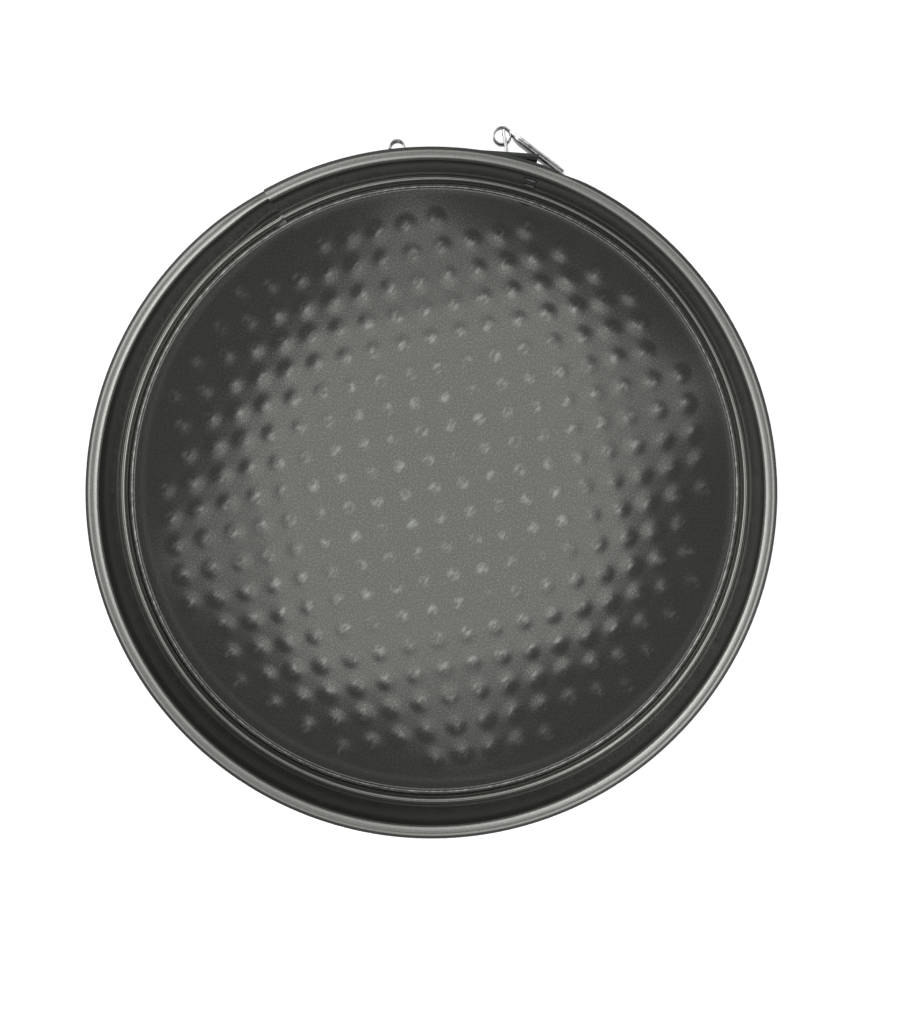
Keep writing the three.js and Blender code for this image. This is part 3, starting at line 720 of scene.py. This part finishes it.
# Distance from the pin and half the strip's height there: straight part, swell to the eye, hems
STRAIGHT_STATIONS = (
    (2.2, LEVER_KNUCKLE_HALF), (3.4, 4.6), (4.2, 6.8), (6.0, LEVER_BODY_HALF),
    (12.0, LEVER_BODY_HALF), (20.0, LEVER_BODY_HALF), (26.8, LEVER_BODY_HALF),
)
SWELL_STATIONS = ((27.7, 7.3), (28.6, 6.5), (29.5, 5.4), (30.4, 4.5), (31.3, 4.1), (32.2, EYE_HALF_HEIGHT))
HEM_STATIONS = (
    (4.4, LEVER_BODY_HALF), (12.0, LEVER_BODY_HALF), (20.0, LEVER_BODY_HALF), (27.0, LEVER_BODY_HALF),
    (28.6, 6.6), (30.2, 5.0), (32.4, EYE_HALF_HEIGHT),
)
HEM_OVERLAP = 0.05


def lever():
    """The hemmed strip, curled round the pin at one end and into the eye at the other."""
    out_deg = LEVER_DEG - 90
    swell_from, swell_to = STRAIGHT_STATIONS[-1][0], LEVER_LENGTH + 0.2
    knuckle = arc(PIVOT, KNUCKLE_R, out_deg - KNUCKLE_TURN_DEG, out_deg, 24)
    straight = [on_lever(t, KNUCKLE_R) for t, _ in STRAIGHT_STATIONS]
    swell = [on_lever(t, KNUCKLE_R + (EYE_R - EYE_OFFSET) * ease(t, swell_from, swell_to))
             for t, _ in SWELL_STATIONS]
    eye = arc(EYE, EYE_R, out_deg + EYE_FROM_DEG, out_deg + EYE_TO_DEG, 36)
    halves = [LEVER_KNUCKLE_HALF] * len(knuckle)
    halves += [half for _, half in STRAIGHT_STATIONS + SWELL_STATIONS]
    halves += [EYE_HALF_HEIGHT] * len(eye)
    heights = [(LATCH_Z - half, LATCH_Z + half) for half in halves]
    parts = [strip("lever_strip", knuckle + straight + swell + eye, heights, LEVER_SHEET, STRIP_PLATE, 0.3)]
    hem_side = KNUCKLE_R + (LEVER_SHEET + LEVER_HEM) / 2 - HEM_OVERLAP
    hem = [on_lever(t, hem_side) for t, _ in HEM_STATIONS]
    upper = [(LATCH_Z + half - LEVER_HEM_HEIGHT, LATCH_Z + half) for _, half in HEM_STATIONS]
    lower = [(LATCH_Z - half, LATCH_Z - half + LEVER_HEM_HEIGHT) for _, half in HEM_STATIONS]
    for heights in (upper, lower):
        parts.append(strip("hem", hem, heights, LEVER_HEM, STRIP_PLATE, 0.6))
    return joined("plated_lever", parts, STRIP_PLATE)


def tube(name, loop, r, sides, material):
    """Round wire along a closed flat loop of points with their outward directions."""
    vertices, faces = [], []
    for point, outward, across in loop:
        for k in range(sides):
            t = 2 * math.pi * k / sides
            vertices.append(tuple(point + outward * (r * math.cos(t)) + across * (r * math.sin(t))))
    count = len(loop)
    for i in range(count):
        for k in range(sides):
            m = (k + 1) % sides
            n = (i + 1) % count
            faces.append((i * sides + k, n * sides + k, n * sides + m, i * sides + m))
    return piece(name, vertices, faces, material, 60)


def wire_bail():
    """The wire loop, hanging from the lever's eye against the strip's outer end."""
    facing = Vector(polar(1.0, TAIL_STRAIGHT_FROM_DEG))
    drop = facing.dot(Vector(BAIL_SEAT)) - (TAIL_OUTER_R + BAIL_REST_GAP + BAIL_WIRE_R)
    hang = math.atan2(-facing.y, -facing.x) + math.acos(min(1.0, drop / BAIL_LENGTH))
    along = Vector((math.cos(hang), math.sin(hang), 0.0))
    across = Vector((-along.y, along.x, 0.0))
    up = Vector((0.0, 0.0, 1.0))
    seat = Vector((BAIL_SEAT[0], BAIL_SEAT[1], LATCH_Z))
    near, far = BAIL_CORNER_R, BAIL_LENGTH - BAIL_CORNER_R
    rise = BAIL_HALF_HEIGHT - BAIL_CORNER_R
    loop = []
    for x, z, start in ((near, -rise, 180), (far, -rise, 270), (far, rise, 0), (near, rise, 90)):
        for k in range(7):
            t = math.radians(start + 90 * k / 6)
            outward = along * math.cos(t) + up * math.sin(t)
            loop.append((seat + along * x + up * z + outward * BAIL_CORNER_R, outward, across))
    return tube("wire_loop", loop, BAIL_WIRE_R, WIRE_SIDES, WIRE_PLATE)


def keeper_hook():
    """The plate on the strip's outer end, with the tongue that the bail hooks over."""
    plate = []
    half_steps = PLATE_STEPS // 2
    for i in range(-half_steps, half_steps + 1):
        across = KEEPER_HALF_WIDTH * i / half_steps
        plate.append(beside(KEEPER_DEG, math.sqrt(KEEPER_R ** 2 - across ** 2), across))
    plate_z = (LATCH_Z - PLATE_HALF_HEIGHT, LATCH_Z + PLATE_HALF_HEIGHT)
    body = strip("keeper_plate", plate, [plate_z] * len(plate), KEEPER_SHEET, STRIP_PLATE, 0.25)
    bend_r = KEEPER_MOUTH / 2
    bend_top = KEEPER_R + KEEPER_REACH - bend_r
    line = [beside(KEEPER_DEG, KEEPER_R + rise, KEEPER_TONGUE_SIDE) for rise in (-0.2, 2.0, 4.0)]
    for turn_deg in range(0, 181, 10):
        turn = math.radians(turn_deg)
        line.append(beside(KEEPER_DEG, bend_top + bend_r * math.sin(turn),
                           KEEPER_TONGUE_SIDE - bend_r + bend_r * math.cos(turn)))
    line.append(beside(KEEPER_DEG, bend_top - 0.4, KEEPER_TONGUE_SIDE - KEEPER_MOUTH))
    tongue_z = (LATCH_Z - KEEPER_TONGUE_HALF, LATCH_Z + KEEPER_TONGUE_HALF)
    tongue = strip("keeper_tongue", line, [tongue_z] * len(line), KEEPER_SHEET, STRIP_PLATE, 0.35)
    return joined("plated_keeper", [body, tongue], STRIP_PLATE)


def lever_bracket():
    """The plate on the wall, folded back into two fingers that are curled round the pin."""
    plate = [polar(BRACKET_R, mix(BRACKET_FROM_DEG, BRACKET_TO_DEG, i / PLATE_STEPS))
             for i in range(PLATE_STEPS + 1)]
    plate_z = (LATCH_Z - PLATE_HALF_HEIGHT, LATCH_Z + PLATE_HALF_HEIGHT)
    parts = [strip("bracket_plate", plate, [plate_z] * len(plate), BRACKET_SHEET, STRIP_PLATE, 0.2)]
    finger_r = PIVOT_R - KNUCKLE_R
    fold_r = (finger_r - BRACKET_R) / 2
    line = [polar(BRACKET_R, BRACKET_TO_DEG - 2.0), polar(BRACKET_R, BRACKET_TO_DEG - 0.5)]
    for turn_deg in (75, 50, 25, 0, -25, -50, -75):
        turn = math.radians(turn_deg)
        line.append(beside(BRACKET_TO_DEG, (finger_r + BRACKET_R) / 2 - fold_r * math.sin(turn),
                           fold_r * math.cos(turn)))
    line += [polar(finger_r, mix(BRACKET_TO_DEG, PIVOT_DEG, t)) for t in (0.1, 0.3, 0.5, 0.7, 0.85)]
    inward = math.degrees(math.atan2(-PIVOT[1], -PIVOT[0]))
    line += arc(PIVOT, KNUCKLE_R, inward, inward - FINGER_TURN_DEG, 24)
    for low in (LATCH_Z - FINGER_FROM - FINGER_HEIGHT, LATCH_Z + FINGER_FROM):
        parts.append(strip("bracket_finger", line, [(low, low + FINGER_HEIGHT)] * len(line),
                           BRACKET_SHEET, STRIP_PLATE))
    return joined("plated_bracket", parts, STRIP_PLATE)


ROUND_SIDES = 24


def turned(name, profile, sides, material):
    """A turned piece along +Z from a closed profile of radius and height."""
    vertices, faces = [], []
    for r, z in profile:
        vertices += around(max(r, 1e-4), sides, z)
    for i in range(len(profile) - 1):
        for k in range(sides):
            a, b = i * sides + k, i * sides + (k + 1) % sides
            faces.append((a, b, b + sides, a + sides))
    return piece(name, vertices, faces, material, 45)


def rivet_row_tree():
    """Copies of one rivet, one above the other, all turned the same way."""
    tree = bpy.data.node_groups.new("rivet_row", "GeometryNodeTree")
    for name, kind in (("Rivet", "NodeSocketObject"), ("First", "NodeSocketVector"),
                       ("Spacing", "NodeSocketFloat"), ("Count", "NodeSocketInt"),
                       ("Tilt", "NodeSocketVector"), ("Metal", "NodeSocketMaterial")):
        tree.interface.new_socket(name, in_out="INPUT", socket_type=kind)
    tree.interface.new_socket("Geometry", in_out="OUTPUT", socket_type="NodeSocketGeometry")
    given = add(tree, "NodeGroupInput").outputs
    rise = add(tree, "ShaderNodeCombineXYZ", {"Z": given["Spacing"]})
    row = add(tree, "GeometryNodeMeshLine", {
        "Count": given["Count"], "Start Location": given["First"], "Offset": rise.outputs["Vector"]})
    shape = add(tree, "GeometryNodeObjectInfo", {"Object": given["Rivet"]})
    copies = add(tree, "GeometryNodeInstanceOnPoints", {
        "Points": row.outputs["Mesh"], "Instance": shape.outputs["Geometry"], "Rotation": given["Tilt"]})
    real = add(tree, "GeometryNodeRealizeInstances", {"Geometry": copies.outputs["Instances"]})
    metal = add(tree, "GeometryNodeSetMaterial", {
        "Geometry": real.outputs["Geometry"], "Material": given["Metal"]})
    add(tree, "NodeGroupOutput", {"Geometry": metal.outputs["Geometry"]})
    return tree


def dome(r, height, start, direction, count):
    """Profile of a round head: radius and distance, from its edge to its crown."""
    turns = [math.radians(90 * i / count) for i in range(count + 1)]
    return [(r * math.cos(t), start + direction * height * math.sin(t)) for t in turns]


def rivets(name, profile, degrees, tree):
    """Two rivets of one profile, its distances counted from the pan's axis outwards."""
    single = turned("one_rivet", profile, ROUND_SIDES, RIVET_STEEL)
    carrier = run_nodes(name, tree, {
        "Rivet": single, "First": (0.0, 0.0, (LATCH_Z - RIVET_RISE) * MM),
        "Spacing": 2 * RIVET_RISE * MM, "Count": 2,
        "Tilt": (math.radians(-90), 0.0, math.radians(-degrees)), "Metal": RIVET_STEEL})
    made = baked(carrier, name, RIVET_STEEL, 45)
    bpy.data.objects.remove(single)
    return made


def keeper_rivets(tree):
    face = KEEPER_R + KEEPER_SHEET / 2 + RIVET_SEAT_GAP
    inner = TAIL_R - SHEET / 2
    profile = [(0.0, inner), (RIVET_SHANK_R, inner), (RIVET_SHANK_R, face)]
    profile += dome(RIVET_HEAD_R, RIVET_HEAD_HEIGHT, face, 1, 8)
    return rivets("keeper_rivets", profile, KEEPER_DEG, tree)


def bracket_rivets(tree):
    face = BRACKET_R + BRACKET_SHEET / 2 + RIVET_SEAT_GAP
    seat = WALL_INNER_R - FIT_GAP
    profile = dome(RIVET_HEAD_R, RIVET_INNER_HEIGHT, seat, -1, 8)[::-1]
    profile += [(RIVET_SHANK_R, seat), (RIVET_SHANK_R, face), (RIVET_TAIL_R, face)]
    profile += dome(RIVET_TAIL_R, RIVET_TAIL_HEIGHT, face, 1, 4)[1:]
    return rivets("bracket_rivets", profile, BRACKET_RIVET_DEG, tree)


def lever_pin():
    half = FINGER_FROM + FINGER_HEIGHT + RIVET_SEAT_GAP
    profile = dome(PIN_HEAD_R, PIN_HEAD_HEIGHT, LATCH_Z - half, -1, 5)[::-1]
    profile += [(PIN_R, LATCH_Z - half), (PIN_R, LATCH_Z + half)]
    profile += dome(PIN_HEAD_R, PIN_HEAD_HEIGHT, LATCH_Z + half, 1, 5)
    made = turned("headed_pin", profile, ROUND_SIDES, RIVET_STEEL)
    made.data.transform(Matrix.Translation((PIVOT[0] * MM, PIVOT[1] * MM, 0.0)))
    return made


rivet_tree = rivet_row_tree()
place(band(), "band", "coated_band", "band")
place(base_plate(), "base", "coated_base", "base_plate")
place(keeper_hook(), "band", "plated_steel", "keeper_hook")
place(keeper_rivets(rivet_tree), "band", "rivet_steel", "keeper_rivet_upper", "keeper_rivet_lower")
place(lever_bracket(), "band", "plated_steel", "lever_bracket")
place(bracket_rivets(rivet_tree), "band", "rivet_steel", "bracket_rivet_upper", "bracket_rivet_lower")
place(lever_pin(), "band", "rivet_steel", "lever_pin")
place(lever(), "lever", "plated_steel", "lever")
place(wire_bail(), "bail", "plated_wire", "wire_bail")


# Floor, light and camera

ROOM_BRIGHT_BELOW = math.cos(math.radians(36))
ROOM_DIM_ABOVE = math.cos(math.radians(17))
ROOM_BRIGHT = 1.3
ROOM_DIM = 0.34
WINDOWS_DEG = 118
WINDOWS_LEAST = 0.62
WINDOWS_GAIN = 1.5
TABLE_HALF = 3
TABLE_LIFT = 0.42


def pale_floor():
    """A white table. Round the pan it is lifted for the camera to the photo's pure white, while
    inside the pan's foot it stays plain, so that the slot round the base is dark."""
    mesh = bpy.data.meshes.new("pale_floor")
    half = TABLE_HALF
    corners = [(-half, -half, 0), (half, -half, 0), (half, half, 0), (-half, half, 0)]
    mesh.from_pydata(corners, [], [(0, 1, 2, 3)])
    floor = bpy.data.objects.new("pale_floor", mesh)
    bpy.context.scene.collection.objects.link(floor)
    material, tree = new_material("white_table")
    paint = add(tree, "ShaderNodeBsdfDiffuse", {"Color": linear("#f2f2f2")})
    place_on = add(tree, "ShaderNodeTexCoord").outputs["Object"]
    away = add(tree, "ShaderNodeVectorMath", {0: place_on}, operation="LENGTH")
    around_pan = add(tree, "ShaderNodeMapRange", {
        "Value": away.outputs["Value"], "From Min": (WALL_R + 3) * MM, "From Max": (WALL_R + 14) * MM,
        "To Max": TABLE_LIFT})
    ray = add(tree, "ShaderNodeLightPath").outputs
    seen = add(tree, "ShaderNodeMath", {
        0: ray["Is Camera Ray"], 1: ray["Is Glossy Ray"]}, operation="MAXIMUM")
    seen = add(tree, "ShaderNodeMath", {
        0: seen.outputs[0], 1: ray["Is Transmission Ray"]}, operation="MAXIMUM")
    strength = add(tree, "ShaderNodeMath", {
        0: seen.outputs[0], 1: around_pan.outputs["Result"]}, operation="MULTIPLY")
    glow = add(tree, "ShaderNodeEmission", {"Strength": strength.outputs[0]})
    both = add(tree, "ShaderNodeAddShader", {0: paint.outputs[0], 1: glow.outputs[0]})
    add(tree, "ShaderNodeOutputMaterial", {"Surface": both.outputs[0]})
    mesh.materials.append(material)


def softbox(name, position, target, size, watts, turn_deg=0):
    """A rectangular soft lamp that faces its target, turned about that line."""
    lamp = bpy.data.lights.new(name, "AREA")
    lamp.shape = "RECTANGLE"
    lamp.size = size[0]
    lamp.size_y = size[1]
    lamp.energy = watts
    made = bpy.data.objects.new(name, lamp)
    made.location = position
    facing = (Vector(target) - Vector(position)).to_track_quat("-Z", "Y")
    turn = Euler((0.0, 0.0, math.radians(turn_deg))).to_quaternion()
    made.rotation_euler = (facing @ turn).to_euler()
    bpy.context.scene.collection.objects.link(made)


SOFTBOX_HALF = 0.2275
SOFTBOX_LONG_CUT = 0.180
SOFTBOX_SHORT_CUT = 0.1275
SOFTBOX_TURN = math.radians(12)
SOFTBOX_PLACE = (-0.031, -0.046, 1.9)
SOFTBOX_STRENGTH = 1.1
PANEL_PLACE = (-0.036, -0.031, 1.96)


def eight_sided_softbox():
    """A square softbox with cut corners: its mirror image is the bright patch on the pan's floor."""
    half, long_cut, short_cut = SOFTBOX_HALF, SOFTBOX_LONG_CUT, SOFTBOX_SHORT_CUT
    quarter = [(half, long_cut), (long_cut, half), (-short_cut, half), (-half, short_cut)]
    corners = []
    for across, along in quarter + [(-x, -y) for x, y in quarter]:
        corners.append((across * math.cos(SOFTBOX_TURN) - along * math.sin(SOFTBOX_TURN),
                        across * math.sin(SOFTBOX_TURN) + along * math.cos(SOFTBOX_TURN), 0.0))
    mesh = bpy.data.meshes.new("overhead_softbox")
    mesh.from_pydata(corners, [], [tuple(range(len(corners)))])
    panel = bpy.data.objects.new("overhead_softbox", mesh)
    panel.location = SOFTBOX_PLACE
    panel.visible_camera = False
    bpy.context.scene.collection.objects.link(panel)
    material, tree = new_material("softbox_cloth")
    glow = add(tree, "ShaderNodeEmission", {"Strength": SOFTBOX_STRENGTH})
    add(tree, "ShaderNodeOutputMaterial", {"Surface": glow.outputs[0]})
    mesh.materials.append(material)


def light():
    """A white room, dim overhead and brighter on two opposite sides, with soft lamps overhead
    that light the middle of the pan's floor."""
    eight_sided_softbox()
    softbox("ceiling_panel", position=PANEL_PLACE, target=PANEL_PLACE[:2] + (0.0,),
            size=(0.575, 0.47), watts=0.46, turn_deg=57)
    softbox("left_softbox", position=(-0.52, 0.52, 1.9), target=(0.0, 0.0, 0.0),
            size=(0.36, 0.36), watts=1.2)
    world = bpy.data.worlds.new("white_room")
    bpy.context.scene.world = world
    world.use_nodes = True
    tree = world.node_tree
    tree.nodes.clear()
    towards = add(tree, "ShaderNodeTexCoord").outputs["Generated"]
    upward = add(tree, "ShaderNodeSeparateXYZ", {"Vector": towards})
    sideways = add(tree, "ShaderNodeVectorMath", {
        0: towards, 1: polar(1.0, WINDOWS_DEG) + (0.0,)}, operation="DOT_PRODUCT").outputs["Value"]
    squared = add(tree, "ShaderNodeMath", {0: sideways, 1: sideways}, operation="MULTIPLY")
    windows = add(tree, "ShaderNodeMath", {
        0: squared.outputs[0], 1: WINDOWS_GAIN, 2: WINDOWS_LEAST}, operation="MULTIPLY_ADD")
    level = add(tree, "ShaderNodeMapRange", {
        "Value": upward.outputs["Z"], "From Min": ROOM_BRIGHT_BELOW, "From Max": ROOM_DIM_ABOVE,
        "To Min": ROOM_BRIGHT, "To Max": ROOM_DIM}, interpolation_type="SMOOTHSTEP")
    strength = add(tree, "ShaderNodeMath", {
        0: level.outputs["Result"], 1: windows.outputs[0]}, operation="MULTIPLY")
    sky = add(tree, "ShaderNodeBackground", {
        "Color": linear("#ffffff"), "Strength": strength.outputs[0]})
    add(tree, "ShaderNodeOutputWorld", {"Surface": sky.outputs["Background"]})


CAMERA_PLACE = (0.0194, 0.0234, 0.971)
RIM_MM_PER_PIXEL = 0.398
PICTURE_HEIGHT = 1024
SHIFT_X_PIXELS = -30
SHIFT_Y_PIXELS = -78
SENSOR_MM = 36.0


def camera():
    """Straight above a point right of and behind the pan's centre, as the photo was taken."""
    focal_px = (CAMERA_PLACE[2] * 1000 - BAND_TOP) / RIM_MM_PER_PIXEL
    lens = bpy.data.cameras.new("camera")
    lens.sensor_fit = "VERTICAL"
    lens.sensor_height = SENSOR_MM
    lens.sensor_width = SENSOR_MM
    lens.lens = focal_px * SENSOR_MM / PICTURE_HEIGHT
    lens.shift_x = SHIFT_X_PIXELS / PICTURE_HEIGHT
    lens.shift_y = SHIFT_Y_PIXELS / PICTURE_HEIGHT
    made = bpy.data.objects.new("camera", lens)
    made.location = CAMERA_PLACE
    bpy.context.scene.collection.objects.link(made)
    bpy.context.scene.camera = made


pale_floor()
light()
camera()
bpy.context.scene.view_settings.view_transform = "Standard"
